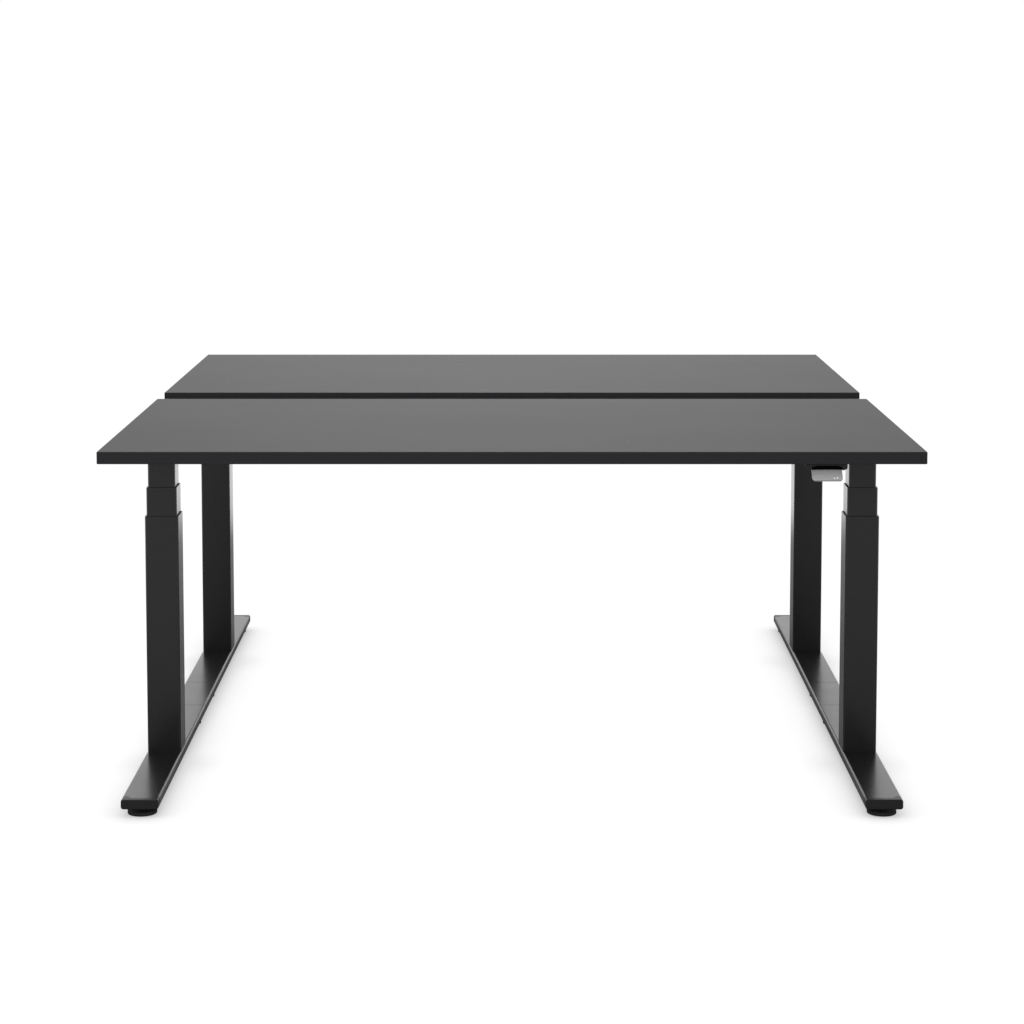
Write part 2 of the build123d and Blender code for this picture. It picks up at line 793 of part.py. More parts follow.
def make_desktop():
    """Front desktop, with blind holes for the screws below it."""
    with BuildPart() as desktop:
        with BuildSketch(Plane.XY.offset(under_top)):
            with Locations((0, -column_y)):
                RectangleRounded(top_width, top_depth, top_corner_radius)
        extrude(amount=top_thickness)
        rims = desktop.faces().filter_by(Axis.Z).edges()
        fillet(rims, radius=top_edge_radius)
        with BuildSketch(Plane.XY.offset(under_top)):
            for column in (-column_x, column_x):
                with Locations(*[(column + x, y - column_y) for x, y in arm_screw_places()]):
                    Circle(wood_screw_diameter / 2 + fit)
        extrude(amount=wood_bite, mode=Mode.SUBTRACT)
        with BuildSketch(Plane.XY.offset(under_top)):
            with Locations(*box_screw_places(), *case_screw_places()):
                Circle(small_screw_diameter / 2 + fit)
        extrude(amount=small_bite, mode=Mode.SUBTRACT)
    return desktop.part


def box_screw_places():
    """Screws of the front desk's control box."""
    return [(-box_screw_x, box_y), (box_screw_x, box_y)]


def case_screw_places():
    """Screws of the front desk's handset case."""
    return [(handset_x - handset_ear_x, handset_middle), (handset_x + handset_ear_x, handset_middle)]


def make_desk_screws():
    """All screws of the front desk's frame."""
    head_bolt = make_screw(
        m8_diameter, head_thickness + arm_sheet - bolt_end_gap, m8_head_diameter, m8_head_height
    )
    wood_screw = make_screw(
        wood_screw_diameter, arm_sheet + wood_bite - screw_end_gap, wood_head_diameter, wood_head_height
    )
    small_screw = make_screw(
        small_screw_diameter,
        box_lug_thickness + small_bite - screw_end_gap,
        small_head_diameter,
        small_head_height,
    )
    case_screw = make_screw(
        small_screw_diameter,
        handset_ear_thickness + small_bite - screw_end_gap,
        small_head_diameter,
        small_head_height,
    )
    rail_screw = make_screw(
        m6_diameter,
        arm_sheet + rail_plate_thickness + rail_screw_stand,
        m6_head_diameter,
        m6_head_height,
    )
    flange_face = column_x - arm_inside / 2
    with BuildPart() as screws:
        for column in (-column_x, column_x):
            with Locations((column, -column_y, head_bottom)):
                with GridLocations(2 * head_bolt_x, 2 * head_bolt_y, 2, 2):
                    add(head_bolt)
            with Locations(*[(column + x, y - column_y, head_top) for x, y in arm_screw_places()]):
                add(wood_screw)
        with Locations(*[(x, y, under_top - box_lug_thickness) for x, y in box_screw_places()]):
            add(small_screw)
        with Locations(*[(x, y, under_top - handset_ear_thickness) for x, y in case_screw_places()]):
            add(case_screw)
        for y in rail_places():
            for shift in (-rail_screw_pitch / 2, rail_screw_pitch / 2):
                with Locations(
                    Location((flange_face, y + shift, rail_middle), (0, -90, 0)),
                    Location((-flange_face, y + shift, rail_middle), (0, 90, 0)),
                ):
                    add(rail_screw)
    return screws.part


def make_base_bolts():
    """Bolts of the column bases and of the foot connectors."""
    column_bolt = make_screw(
        m8_diameter, foot_wall + plate_thickness - bolt_end_gap, m8_head_diameter, m8_head_height
    )
    tongue_screw = make_screw(
        m6_diameter, tongue_top - foot_bottom - screw_end_gap, m6_head_diameter, m6_head_height
    )
    with BuildPart() as bolts:
        for place in corners.values():
            with Locations(place):
                with Locations((0, 0, foot_ceiling)):
                    with GridLocations(bolt_pitch, bolt_pitch, 2, 2):
                        add(column_bolt)
                with Locations((0, foot_inner_end - tongue_screw_inset, foot_bottom)):
                    with GridLocations(bolt_pitch, 1, 2, 1):
                        add(tongue_screw)
    return bolts.part


def make_group(piece, places):
    """Several copies of one piece as one node."""
    with BuildPart() as group:
        with Locations(*places):
            add(piece)
    return group.part


os.makedirs("parts", exist_ok=True)

# Shared base: feet, connectors, caps and the fixed parts of the columns
foot = make_foot()
outer_tube = make_outer_tube()
for corner, place in corners.items():
    save(foot.moved(place), f"{corner}_foot")
    save(outer_tube.moved(place), f"{corner}_outer_tube")
connector = make_connector()
save(connector.moved(Location((-column_x, 0, 0))), "left_foot_connector")
save(connector.moved(Location((column_x, 0, 0))), "right_foot_connector")
save(make_group(make_end_cap(), corners.values()), "foot_end_caps")
save(make_group(make_nut_tube(), corners.values()), "spindle_nut_tubes")
save(make_group(make_glide_ring(), corners.values()), "glide_rings")
save(make_base_bolts(), "base_bolts")

# Moving stages and spindles of the four columns
inner_tube = make_inner_tube()
middle_tube = make_middle_tube()
carrier = make_carrier()
lower_spindle = make_lower_spindle()
upper_spindle = make_upper_spindle()
support_arm = make_support_arm()
for corner, place in corners.items():
    save(inner_tube.moved(place), f"{corner}_inner_tube")
    save(middle_tube.moved(place), f"{corner}_middle_tube")
    save(carrier.moved(place), f"{corner}_stage_carrier")
    save(lower_spindle.moved(place), f"{corner}_lower_spindle")
    save(upper_spindle.moved(place), f"{corner}_upper_spindle")
    save(support_arm.moved(place), f"{corner}_support_arm")

# Levellers under the tips and beside the connectors
leveller = make_leveller()
for corner, place in corners.items():
    for spot, offset in leveller_places.items():
        save(leveller.moved(place * offset), f"{corner}_{spot}_leveller")

# Desktops and what is fixed below them
desktop = make_desktop()
rails = make_rails()
control_box = make_control_box()
handset_case = make_handset_case()
paddle = make_paddle()
desk_screws = make_desk_screws()
motor = make_motor()
for desk, place in desks.items():
    columns = [spot for corner, spot in corners.items() if corner.startswith(desk)]
    save(desktop.moved(place), f"{desk}_desktop")
    save(rails.moved(place), f"{desk}_cross_rails")
    save(control_box.moved(place), f"{desk}_control_box")
    save(handset_case.moved(place), f"{desk}_handset_case")
    save(paddle.moved(place), f"{desk}_paddle")
    save(desk_screws.moved(place), f"{desk}_frame_screws")
    save(make_group(motor, columns), f"{desk}_drive_motors")
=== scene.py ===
# %% [markdown]
# # A back-to-back pair of height adjustable desks
#
# Two dark laminate desktops stand on four telescopic columns and one pair of long flat feet. The
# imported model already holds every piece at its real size, in metres. This lesson gives each finish
# its own procedural material, prints the marks on the paddles, and sets up a plain studio.

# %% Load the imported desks
import json
import math

import bmesh
import bpy
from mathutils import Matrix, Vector


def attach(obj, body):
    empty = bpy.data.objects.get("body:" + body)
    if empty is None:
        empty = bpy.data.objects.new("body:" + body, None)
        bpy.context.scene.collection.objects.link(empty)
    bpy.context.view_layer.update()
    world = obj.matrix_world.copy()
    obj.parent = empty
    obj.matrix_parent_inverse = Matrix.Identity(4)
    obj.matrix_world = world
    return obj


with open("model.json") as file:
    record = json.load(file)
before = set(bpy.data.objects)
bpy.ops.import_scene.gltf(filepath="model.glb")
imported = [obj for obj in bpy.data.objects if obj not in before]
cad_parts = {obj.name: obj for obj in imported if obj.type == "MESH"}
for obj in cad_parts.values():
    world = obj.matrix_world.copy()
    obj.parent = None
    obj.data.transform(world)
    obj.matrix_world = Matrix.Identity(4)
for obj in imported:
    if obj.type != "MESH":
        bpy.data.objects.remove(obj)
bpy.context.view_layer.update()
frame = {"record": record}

# %% [markdown]
# ## A small vocabulary for materials
#
# Every finish here is a Principled BSDF with a few texture nodes in front of it. Nodes can be added
# and linked one by one, but the same few kinds come back in every material, so each kind gets a
# helper. Most of them take sockets or plain numbers, and hand back the socket to go on from. Object
# coordinates are in metres, so a noise scale of 1000 means a grain of about one millimetre.

# %% Node helpers
def feed(tree, socket, value):
    """Links an output socket into an input, or sets the input's own value."""
    if isinstance(value, bpy.types.NodeSocket):
        tree.links.new(value, socket)
    else:
        socket.default_value = value


def add_node(tree, kind, **settings):
    """Adds a node. Settings that name a property set it, the others feed an input socket."""
    node = tree.nodes.new(kind)
    for key, value in settings.items():
        if hasattr(node, key):
            setattr(node, key, value)
        else:
            feed(tree, node.inputs[key.replace("_", " ")], value)
    return node


def math_of(tree, operation, *values):
    """The result of a Math node on sockets or numbers."""
    node = add_node(tree, "ShaderNodeMath", operation=operation)
    for socket, value in zip(node.inputs, values):
        feed(tree, socket, value)
    return node.outputs[0]


print("helpers:", feed.__name__, add_node.__name__, math_of.__name__)

# %% Helpers for ranges, mixes and noise
FULL_RANGE = (0.0, 1.0)


def ranged(tree, value, source=FULL_RANGE, target=FULL_RANGE, smooth=False):
    """The result of a Map Range node that takes the source range to the target range."""
    node = add_node(
        tree,
        "ShaderNodeMapRange",
        interpolation_type="SMOOTHSTEP" if smooth else "LINEAR",
        Value=value,
        From_Min=source[0],
        From_Max=source[1],
        To_Min=target[0],
        To_Max=target[1],
    )
    return node.outputs["Result"]


def mixed(tree, kind, factor, first, second):
    """The result of a Mix node for colours, kind RGBA, or for numbers, kind FLOAT."""
    node = add_node(tree, "ShaderNodeMix", data_type=kind, Factor=factor, A=first, B=second)
    return node.outputs["Result"]


def noise(tree, place, scale, detail, roughness, distortion=0.0):
    """The value of a Noise texture."""
    node = add_node(
        tree,
        "ShaderNodeTexNoise",
        Vector=place,
        Scale=scale,
        Detail=detail,
        Roughness=roughness,
        Distortion=distortion,
    )
    return node.outputs["Fac"]


print("helpers:", ranged.__name__, mixed.__name__, noise.__name__)

# %% Helper for node groups
FLOAT = "NodeSocketFloat"


def group_with(name, inputs, outputs):
    """A shader node group with the named number sockets, and its two end nodes."""
    tree = bpy.data.node_groups.new(name, "ShaderNodeTree")
    for label, value in inputs.items():
        socket = tree.interface.new_socket(label, in_out="INPUT", socket_type=FLOAT)
        socket.default_value = value
    for label in outputs:
        tree.interface.new_socket(label, in_out="OUTPUT", socket_type=FLOAT)
    return tree, tree.nodes.new("NodeGroupInput"), tree.nodes.new("NodeGroupOutput")


print("helper:", group_with.__name__)

# %% [markdown]
# ## Fine grain
#
# Laminate, powder coat and moulded plastic all have a grain that is only felt by its broken
# highlight: pearls in the laminate, orange peel in the coat, spark texture in the plastic. They
# differ in size and depth alone, so one group makes them all: two noises, one for the grain and one
# coarser, give a height for a Bump node and a mask for the colour.

# %% Group: fine grain
COARSE_STEP = 0.37
PIT_LEVELS = (0.42, 0.62)
grain_tree, grain_in, grain_out = group_with(
    "fine grain", {"Scale": 900.0, "Coarse share": 0.35}, ("Height", "Mask")
)
grain_at = add_node(grain_tree, "ShaderNodeTexCoord").outputs["Object"]
grain_scale = grain_in.outputs["Scale"]
coarse_scale = math_of(grain_tree, "MULTIPLY", grain_scale, COARSE_STEP)
fine = noise(grain_tree, grain_at, grain_scale, detail=2.0, roughness=0.55)
coarse = noise(grain_tree, grain_at, coarse_scale, detail=1.0, roughness=0.5)
height = mixed(grain_tree, "FLOAT", grain_in.outputs["Coarse share"], fine, coarse)
feed(grain_tree, grain_out.inputs["Height"], height)
feed(grain_tree, grain_out.inputs["Mask"], ranged(grain_tree, height, PIT_LEVELS, smooth=True))
print("group:", grain_tree.name, len(grain_tree.nodes), "nodes")

# %% [markdown]
# ## Handling
#
# Even a new desk isn't equally glossy all over. Wiping leaves wide, soft streaks, and a little dust
# settles on what faces up. Both could be painted by hand, but then every piece would need its own
# picture. The group gives a slow streak mask, stretched along the desk, for the roughness, and a
# dust mask that reads the surface's own normal, so it stays put when a piece moves.

# %% Group: handling, streaks
STREAK_STRETCH = (0.45, 1.0, 1.0)
STREAK_LEVELS = (0.3, 0.7)
handling_tree, handling_in, handling_out = group_with(
    "handling", {"Streak scale": 6.0, "Dust": 0.3}, ("Streaks", "Dust mask")
)
handling_at = add_node(handling_tree, "ShaderNodeTexCoord")
handling_place = handling_at.outputs["Object"]
stretched = add_node(
    handling_tree, "ShaderNodeMapping", Vector=handling_place, Scale=STREAK_STRETCH
)
streaks = noise(
    handling_tree,
    stretched.outputs["Vector"],
    handling_in.outputs["Streak scale"],
    detail=4.0,
    roughness=0.6,
    distortion=0.4,
)
streak_mask = ranged(handling_tree, streaks, STREAK_LEVELS)
feed(handling_tree, handling_out.inputs["Streaks"], streak_mask)
print("group:", handling_tree.name, "streaks stretched by", STREAK_STRETCH)

# %% Group: handling, dust
SPECK_SCALE = 260.0
SPECK_LEVELS = (0.6, 0.85)
DUST_FACING = (0.7, 1.0)
facing = add_node(handling_tree, "ShaderNodeSeparateXYZ", Vector=handling_at.outputs["Normal"])
facing_up = ranged(handling_tree, facing.outputs["Z"], DUST_FACING)
specks = noise(handling_tree, handling_place, SPECK_SCALE, detail=3.0, roughness=0.7)
few_specks = ranged(handling_tree, specks, SPECK_LEVELS)
specks_on_top = math_of(handling_tree, "MULTIPLY", facing_up, few_specks)
dust_mask = math_of(handling_tree, "MULTIPLY", specks_on_top, handling_in.outputs["Dust"])
feed(handling_tree, handling_out.inputs["Dust mask"], dust_mask)
print("group:", handling_tree.name, len(handling_tree.nodes), "nodes")

# %% [markdown]
# ## One recipe for a grained finish
#
# A coat is mostly one colour, a second colour in the pits of its grain, a pale veil of dust, a
# roughness that wanders with the streaks, and a shallow bump. Each material could be wired on its
# own, but writing it once keeps the finishes comparable: each one below is only a row of numbers.

# %% Recipe: grained finish
DUST_COLOUR = (0.32, 0.31, 0.3, 1.0)
BUMP_STRENGTH = 0.6


def grained_finish(
    name, colour, pit_colour, roughness, grain, depth, ior=1.45, dust=0.2, metallic=0.0
):
    """A finish from two close colours, a roughness range, a grain scale and a depth in metres."""
    finish = bpy.data.materials.new(name)
    finish.use_nodes = True
    tree = finish.node_tree
    shader = tree.nodes["Principled BSDF"]
    shader.inputs["IOR"].default_value = ior
    shader.inputs["Metallic"].default_value = metallic
    grained = add_node(tree, "ShaderNodeGroup", node_tree=grain_tree, Scale=grain)
    handled = add_node(tree, "ShaderNodeGroup", node_tree=handling_tree, Dust=dust)
    pits = mixed(tree, "RGBA", grained.outputs["Mask"], (*pit_colour, 1.0), (*colour, 1.0))
    veil = mixed(tree, "RGBA", handled.outputs["Dust mask"], pits, DUST_COLOUR)
    gloss = ranged(tree, handled.outputs["Streaks"], target=roughness)
    bump = add_node(
        tree,
        "ShaderNodeBump",
        Strength=BUMP_STRENGTH,
        Distance=depth,
        Height=grained.outputs["Height"],
    )
    feed(tree, shader.inputs["Base Color"], veil)
    feed(tree, shader.inputs["Roughness"], gloss)
    feed(tree, shader.inputs["Normal"], bump.outputs["Normal"])
    return finish, tree, shader


print("recipe:", grained_finish.__name__)

# %% [markdown]
# ## Desktop laminate
#
# The tops are dark grey melamine on board, with a plastic band glued round the edge. The melamine
# is an anti-glare sort: seen from above it hardly shines, so its IOR is low, and only at a low
# angle does it light up. The band is darker and a little bluer, and it goes round the rim. Two
# materials and a face selection could do it, but one material is enough: whatever doesn't face
# straight up or down is band, and one mask then mixes the colour and the roughness.

# %% Finish: desktop laminate
laminate, laminate_tree, laminate_shader = grained_finish(
    "desktop laminate",
    colour=(0.052, 0.052, 0.0537),
    pit_colour=(0.0436, 0.0436, 0.0451),
    roughness=(0.266, 0.274),
    grain=1400.0,
    depth=0.000006,
    ior=1.068,
    dust=0.05,
)
print("laminate:", len(laminate_tree.nodes), "nodes")

# %% Finish: edge band of the laminate
BAND_COLOUR = (0.0235, 0.0237, 0.0251, 1.0)
BAND_ROUGHNESS = 0.3
BAND_FACING = (0.999, 0.97)


def paint_over(tree, kind, socket, mask, value):
    """Lays a second colour or number over what feeds a shader's socket, where the mask is 1."""
    before = socket.links[0].from_socket
    feed(tree, socket, mixed(tree, kind, mask, before, value))


rim_normal = add_node(laminate_tree, "ShaderNodeTexCoord").outputs["Normal"]
rim_axes = add_node(laminate_tree, "ShaderNodeSeparateXYZ", Vector=rim_normal)
rim_flatness = math_of(laminate_tree, "ABSOLUTE", rim_axes.outputs["Z"])
band_mask = ranged(laminate_tree, rim_flatness, BAND_FACING)
laminate_in = laminate_shader.inputs
paint_over(laminate_tree, "RGBA", laminate_in["Base Color"], band_mask, BAND_COLOUR)
paint_over(laminate_tree, "FLOAT", laminate_in["Roughness"], band_mask, BAND_ROUGHNESS)
print("laminate and band:", len(laminate_tree.nodes), "nodes")

# %% [markdown]
# ## Powder coat
#
# Columns, feet, arms and rails are steel with a black powder coat. It shines more than the tops:
# the foot mirrors its own column, sharply at the column's base and softly further away. Powder
# flows into a low orange peel, about two millimetres from hill to hill, so the grain is coarser
# than on the laminate. A lower roughness alone would make the mirror image hard. A thin clear coat
# on top brightens it where the eye skims along, and leaves it soft.

# %% Finish: powder coat
COAT_WEIGHT, COAT_ROUGHNESS = 0.6, 0.21
powder_coat, powder_tree, powder_shader = grained_finish(
    "black powder coat",
    colour=(0.008, 0.008, 0.0083),
    pit_colour=(0.0063, 0.0063, 0.0066),
    roughness=(0.27, 0.33),
    grain=620.0,
    depth=0.00003,
    ior=1.5,
    dust=0.05,
)
powder_shader.inputs["Coat Weight"].default_value = COAT_WEIGHT
powder_shader.inputs["Coat Roughness"].default_value = COAT_ROUGHNESS
print("powder coat:", len(powder_tree.nodes), "nodes")

# %% [markdown]
# ## Moulded plastics
#
# End caps, glide rings and control boxes are black plastic with a spark texture from the mould. The
# levellers are a duller plastic that can scuff along the floor. The paddle of the handset is a
# satin grey that shows the hand where to go. One plastic in three colours would be simpler, but the
# gloss tells them apart as much as the colour does.

# %% Finishes: plastics
black_plastic, *_ = grained_finish(
    "black moulded plastic",
    colour=(0.012, 0.012, 0.0125),
    pit_colour=(0.008, 0.008, 0.0085),
    roughness=(0.27, 0.34),
    grain=2200.0,
    depth=0.00004,
    dust=0.1,
)
leveller_plastic, *_ = grained_finish(
    "leveller plastic",
    colour=(0.027, 0.027, 0.0278),
    pit_colour=(0.019, 0.019, 0.0198),
    roughness=(0.5, 0.62),
    grain=1800.0,
    depth=0.00005,
    dust=0.2,
)
paddle_satin, *_ = grained_finish(
    "paddle satin grey",
    colour=(0.335, 0.336, 0.339),
    pit_colour=(0.31, 0.311, 0.314),
    roughness=(0.32, 0.4),
    grain=2400.0,
    depth=0.00002,
    dust=0.05,
)
print("plastics:", [m.name for m in (black_plastic, leveller_plastic, paddle_satin)])

# %% [markdown]
# ## Handset case
#
# The case is a matt black moulding that hides under the desktop. Its open middle, where the
# fingertips reach over the paddle, lies deep in shade, and that shade is painted into the case's
# colour. The dark field could be a piece of its own, but it has no thickness, so it is drawn in the
# material: it starts below the lip, flares to the paddle's width, and runs through to the back.
# Distances are taken from the handset's own middle plane, on either side of the desks' middle, so
# one material serves both cases.

# %% Finish: handset case
handset_black_and_painted_shade, handset_tree, handset_shader = grained_finish(
    "handset matt black",
    colour=(0.029, 0.029, 0.03),
    pit_colour=(0.023, 0.023, 0.0239),
    roughness=(0.58, 0.66),
    grain=2000.0,
    depth=0.00004,
    ior=1.1,
    dust=0.02,
)
print("handset case:", len(handset_tree.nodes), "nodes")

# %% Painted shade in the handset case
HANDSET_MIDDLE = 0.6085
PAINTED_SHADE_TOP, PAINTED_SHADE_FLARE = 0.700, 4.0
PAINTED_SHADE_HALF_TOP, PAINTED_SHADE_HALF_MOST = 0.019, 0.030
PAINTED_SHADE_EDGE = (0.0, 0.0006)
# painted shade: a near-black colour drawn where the case's open middle lies in shadow
PAINTED_SHADE_COLOUR = (0.0012, 0.0012, 0.0013, 1.0)


def handset_math(operation, *values):
    """A step of the painted shade's outline, in the case's material."""
    return math_of(handset_tree, operation, *values)


case_at = add_node(handset_tree, "ShaderNodeTexCoord").outputs["Object"]
case_axes = add_node(handset_tree, "ShaderNodeSeparateXYZ", Vector=case_at)
from_desk_middle = handset_math("ABSOLUTE", case_axes.outputs["X"])
from_middle = handset_math("SUBTRACT", from_desk_middle, HANDSET_MIDDLE)
below = handset_math("SUBTRACT", PAINTED_SHADE_TOP, case_axes.outputs["Z"])
flare = handset_math("ADD", handset_math("MULTIPLY", below, PAINTED_SHADE_FLARE), PAINTED_SHADE_HALF_TOP)
half_width = handset_math("MINIMUM", flare, PAINTED_SHADE_HALF_MOST)
inside = handset_math("SUBTRACT", half_width, handset_math("ABSOLUTE", from_middle))
# mask of the painted shade: darker colour below the lip, flaring to the paddle's width
painted_shade = handset_math(
    "MULTIPLY",
    ranged(handset_tree, inside, PAINTED_SHADE_EDGE),
    ranged(handset_tree, below, PAINTED_SHADE_EDGE),
)
paint_over(handset_tree, "RGBA", handset_shader.inputs["Base Color"], painted_shade, PAINTED_SHADE_COLOUR)
print("handset case and field:", len(handset_tree.nodes), "nodes")

# %% [markdown]
# ## Bare and blackened steel
#
# The spindles, carriers and nut tubes inside the columns are ground steel with a turned thread.
# Real ridges would cost many faces where hardly anyone looks, so a wave texture along the axis
# stands in for them, with ten millimetres from ridge to ridge. Screws and bolts have a black oxide,
# and the motors a dull dark paint.

# %% Finish: drive steel
THREAD_SCALE = 31.4
THREAD_STRENGTH, THREAD_DEPTH = 0.5, 0.0006
drive_steel, drive_tree, drive_shader = grained_finish(
    "ground drive steel",
    colour=(0.52, 0.52, 0.53),
    pit_colour=(0.42, 0.42, 0.43),
    roughness=(0.24, 0.36),
    grain=800.0,
    depth=0.00002,
    metallic=1.0,
    dust=0.0,
)
thread_at = add_node(drive_tree, "ShaderNodeTexCoord").outputs["Object"]
thread_wave = add_node(
    drive_tree, "ShaderNodeTexWave", bands_direction="Z", Vector=thread_at, Scale=THREAD_SCALE
)
thread_bump = add_node(
    drive_tree,
    "ShaderNodeBump",
    Strength=THREAD_STRENGTH,
    Distance=THREAD_DEPTH,
    Height=thread_wave.outputs["Fac"],
    Normal=drive_shader.inputs["Normal"].links[0].from_socket,
)
feed(drive_tree, drive_shader.inputs["Normal"], thread_bump.outputs["Normal"])
print("drive steel:", len(drive_tree.nodes), "nodes")

# %% Finishes: oxide and motor paint
black_oxide, *_ = grained_finish(
    "black oxide steel",
    colour=(0.05, 0.05, 0.053),
    pit_colour=(0.035, 0.035, 0.037),
    roughness=(0.35, 0.48),
    grain=1500.0,
    depth=0.00002,
    metallic=0.8,
    dust=0.0,
)
motor_paint, *_ = grained_finish(
    "motor paint",
    colour=(0.09, 0.09, 0.095),
    pit_colour=(0.07, 0.07, 0.075),
    roughness=(0.42, 0.55),
    grain=900.0,
    depth=0.00004,
    dust=0.0,
)
print("steels:", [m.name for m in (drive_steel, black_oxide, motor_paint)])

# %% [markdown]
# ## Dressing the pieces
#
# Sixty pieces could each be given a material by name. The record already names one material slot for
# each of them, so the finishes are handed out by slot. Only the handset cases differ: they are of
# black plastic like the end caps, but matt, with painted shade in their open middle.

# %% Hand out the finishes
finish_of_slot = {
    "desktop_laminate": laminate,
    "black_powder_coat": powder_coat,
    "black_plastic": black_plastic,
    "leveller_plastic": leveller_plastic,
    "paddle_grey": paddle_satin,
    "drive_steel": drive_steel,
    "motor_steel": motor_paint,
    "fastener_steel": black_oxide,
}
slot_of_node = {sub["node"]: sub["material_slot"] for sub in frame["record"]["subparts"]}
for node, slot in slot_of_node.items():
    piece = bpy.data.objects[node]
    piece.data.materials.clear()
    piece.data.materials.append(finish_of_slot[slot])
for node in ("front_handset_case", "rear_handset_case"):
    bpy.data.objects[node].data.materials[0] = handset_black_and_painted_shade
print("dressed:", len(slot_of_node), "nodes")

# %% [markdown]
# ## Marks on the paddles
#
# The paddle is tilted up or down to move the desk, and a small printed sign at its free corner says
# so: one triangle up and one down. A texture could print them, but the sloping face would need a
# mapping first. Two prisms a tenth of a millimetre thick, laid on the face, need none. Each pair
# rides on its own paddle, so it tilts with it. The rear handset is the front one turned half round.

# %% Finish: printing ink
printing_ink, *_ = grained_finish(
    "white printing ink",
    colour=(0.8, 0.8, 0.79),
    pit_colour=(0.72, 0.72, 0.71),
    roughness=(0.4, 0.5),
    grain=3000.0,
    depth=0.00001,
    dust=0.0,
)
print("ink:", printing_ink.name)

# %% One printed triangle
PADDLE_SLOPE = math.radians(46.0)
PADDLE_PIVOT = Vector((HANDSET_MIDDLE, -0.831, 0.6945))
DOWN_SLOPE = Vector((0.0, -math.cos(PADDLE_SLOPE), -math.sin(PADDLE_SLOPE)))
FACE_OUT = Vector((0.0, -math.sin(PADDLE_SLOPE), math.cos(PADDLE_SLOPE)))
ACROSS = Vector((1.0, 0.0, 0.0))
FACE_HEIGHT = 0.00175
INK_SUNK, INK_PROUD = 0.00005, 0.00010
MARK_HALF_WIDTH, MARK_HALF_HEIGHT = 0.0022, 0.0018
MARK_SIDE, MARK_REACH, MARK_APART = 0.016, 0.0265, 0.0058


def add_triangle(form, side, points_up):
    """A thin prism on the paddle's face, its point up the slope or down it."""
    middle = PADDLE_PIVOT + ACROSS * side + DOWN_SLOPE * MARK_REACH + FACE_OUT * FACE_HEIGHT
    tip = -MARK_HALF_HEIGHT if points_up else MARK_HALF_HEIGHT
    outline = [
        middle + DOWN_SLOPE * tip,
        middle - DOWN_SLOPE * tip - ACROSS * MARK_HALF_WIDTH,
        middle - DOWN_SLOPE * tip + ACROSS * MARK_HALF_WIDTH,
    ]
    low = [form.verts.new(p - FACE_OUT * INK_SUNK) for p in outline]
    high = [form.verts.new(p + FACE_OUT * INK_PROUD) for p in outline]
    form.faces.new(low)
    form.faces.new(high)
    for a, b in ((0, 1), (1, 2), (2, 0)):
        form.faces.new((low[a], low[b], high[b], high[a]))


print("mark:", round(2 * MARK_HALF_WIDTH * 1000, 1), "mm wide")

# %% Printed marks of both paddles
def printed_marks(name, half_turn):
    """The up and down triangles of one paddle as one mesh object."""
    form = bmesh.new()
    add_triangle(form, MARK_SIDE - MARK_APART / 2, True)
    add_triangle(form, MARK_SIDE + MARK_APART / 2, False)
    bmesh.ops.recalc_face_normals(form, faces=form.faces)
    if half_turn:
        for vert in form.verts:
            vert.co.x, vert.co.y = -vert.co.x, -vert.co.y
    mesh = bpy.data.meshes.new(name)
    form.to_mesh(mesh)
    form.free()
    mesh.materials.append(printing_ink)
    marks = bpy.data.objects.new(name, mesh)
    bpy.context.collection.objects.link(marks)
    return marks


for desk, half_turn in (("front", False), ("rear", True)):
    marks = printed_marks(desk + "_paddle_marks", half_turn)
    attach(marks, desk + "_paddle_body")
    print(marks.name, len(marks.data.polygons), "faces")

# %% [markdown]
# ## The studio
#
# The desks stand on a plain pale floor that reaches to the horizon. To the camera the floor is
# white, and it greys only where a foot stands close over it. A shadow from one lamp would draw a
# second outline of each foot, so the contact shadow comes from an Ambient Occlusion node instead.
# The coat mirrors another floor: a lit one, dark under the desks, that sweeps up into a white
# backdrop at the back and the sides, as studio paper does. Around the feet that mirrored floor is
# darker still, by painted shade from a second Ambient Occlusion node in its colour.

# %% Floor
FLOOR_HALF = 14.0
floor_mesh = bpy.data.meshes.new("studio_floor")
floor_form = bmesh.new()
floor_corners = [
    floor_form.verts.new((x * FLOOR_HALF, y * FLOOR_HALF, 0.0))
    for x, y in ((-1, -1), (1, -1), (1, 1), (-1, 1))
]
floor_form.faces.new(floor_corners)
floor_form.to_mesh(floor_mesh)
floor_form.free()
floor = bpy.data.objects.new("studio_floor", floor_mesh)
bpy.context.collection.objects.link(floor)
print("floor:", 2 * FLOOR_HALF, "m across")

# %% Floor paint
floor_paint = bpy.data.materials.new("studio floor")
floor_paint.use_nodes = True
floor_mesh.materials.append(floor_paint)
floor_tree = floor_paint.node_tree
floor_tree.nodes.clear()
floor_rays = add_node(floor_tree, "ShaderNodeLightPath").outputs
floor_choice = add_node(floor_tree, "ShaderNodeMixShader", Fac=floor_rays["Is Camera Ray"])
add_node(floor_tree, "ShaderNodeOutputMaterial", Surface=floor_choice.outputs["Shader"])


def glow_and_matt(strength, colour):
    """A glow and a matt paint added together, in the floor's material."""
    glow = add_node(floor_tree, "ShaderNodeEmission", Strength=strength)
    matt = add_node(floor_tree, "ShaderNodeBsdfDiffuse", Color=colour)
    both = add_node(floor_tree, "ShaderNodeAddShader")
    feed(floor_tree, both.inputs[0], glow.outputs["Emission"])
    feed(floor_tree, both.inputs[1], matt.outputs["BSDF"])
    return both.outputs["Shader"]


print("floor paint: one look for the camera, one for the desks")

# %% Floor paint: what the camera sees
CONTACT_REACH = 0.1
CONTACT_SEEN = (0.33, 0.985)
TONE_SEEN = (0.06, 0.06, 0.06, 1.0)
contact = add_node(floor_tree, "ShaderNodeAmbientOcclusion", samples=8, Distance=CONTACT_REACH)
contact_level = ranged(floor_tree, contact.outputs["AO"], target=CONTACT_SEEN)
feed(floor_tree, floor_choice.inputs[2], glow_and_matt(contact_level, TONE_SEEN))
print("contact shadow: down to", CONTACT_SEEN[0])

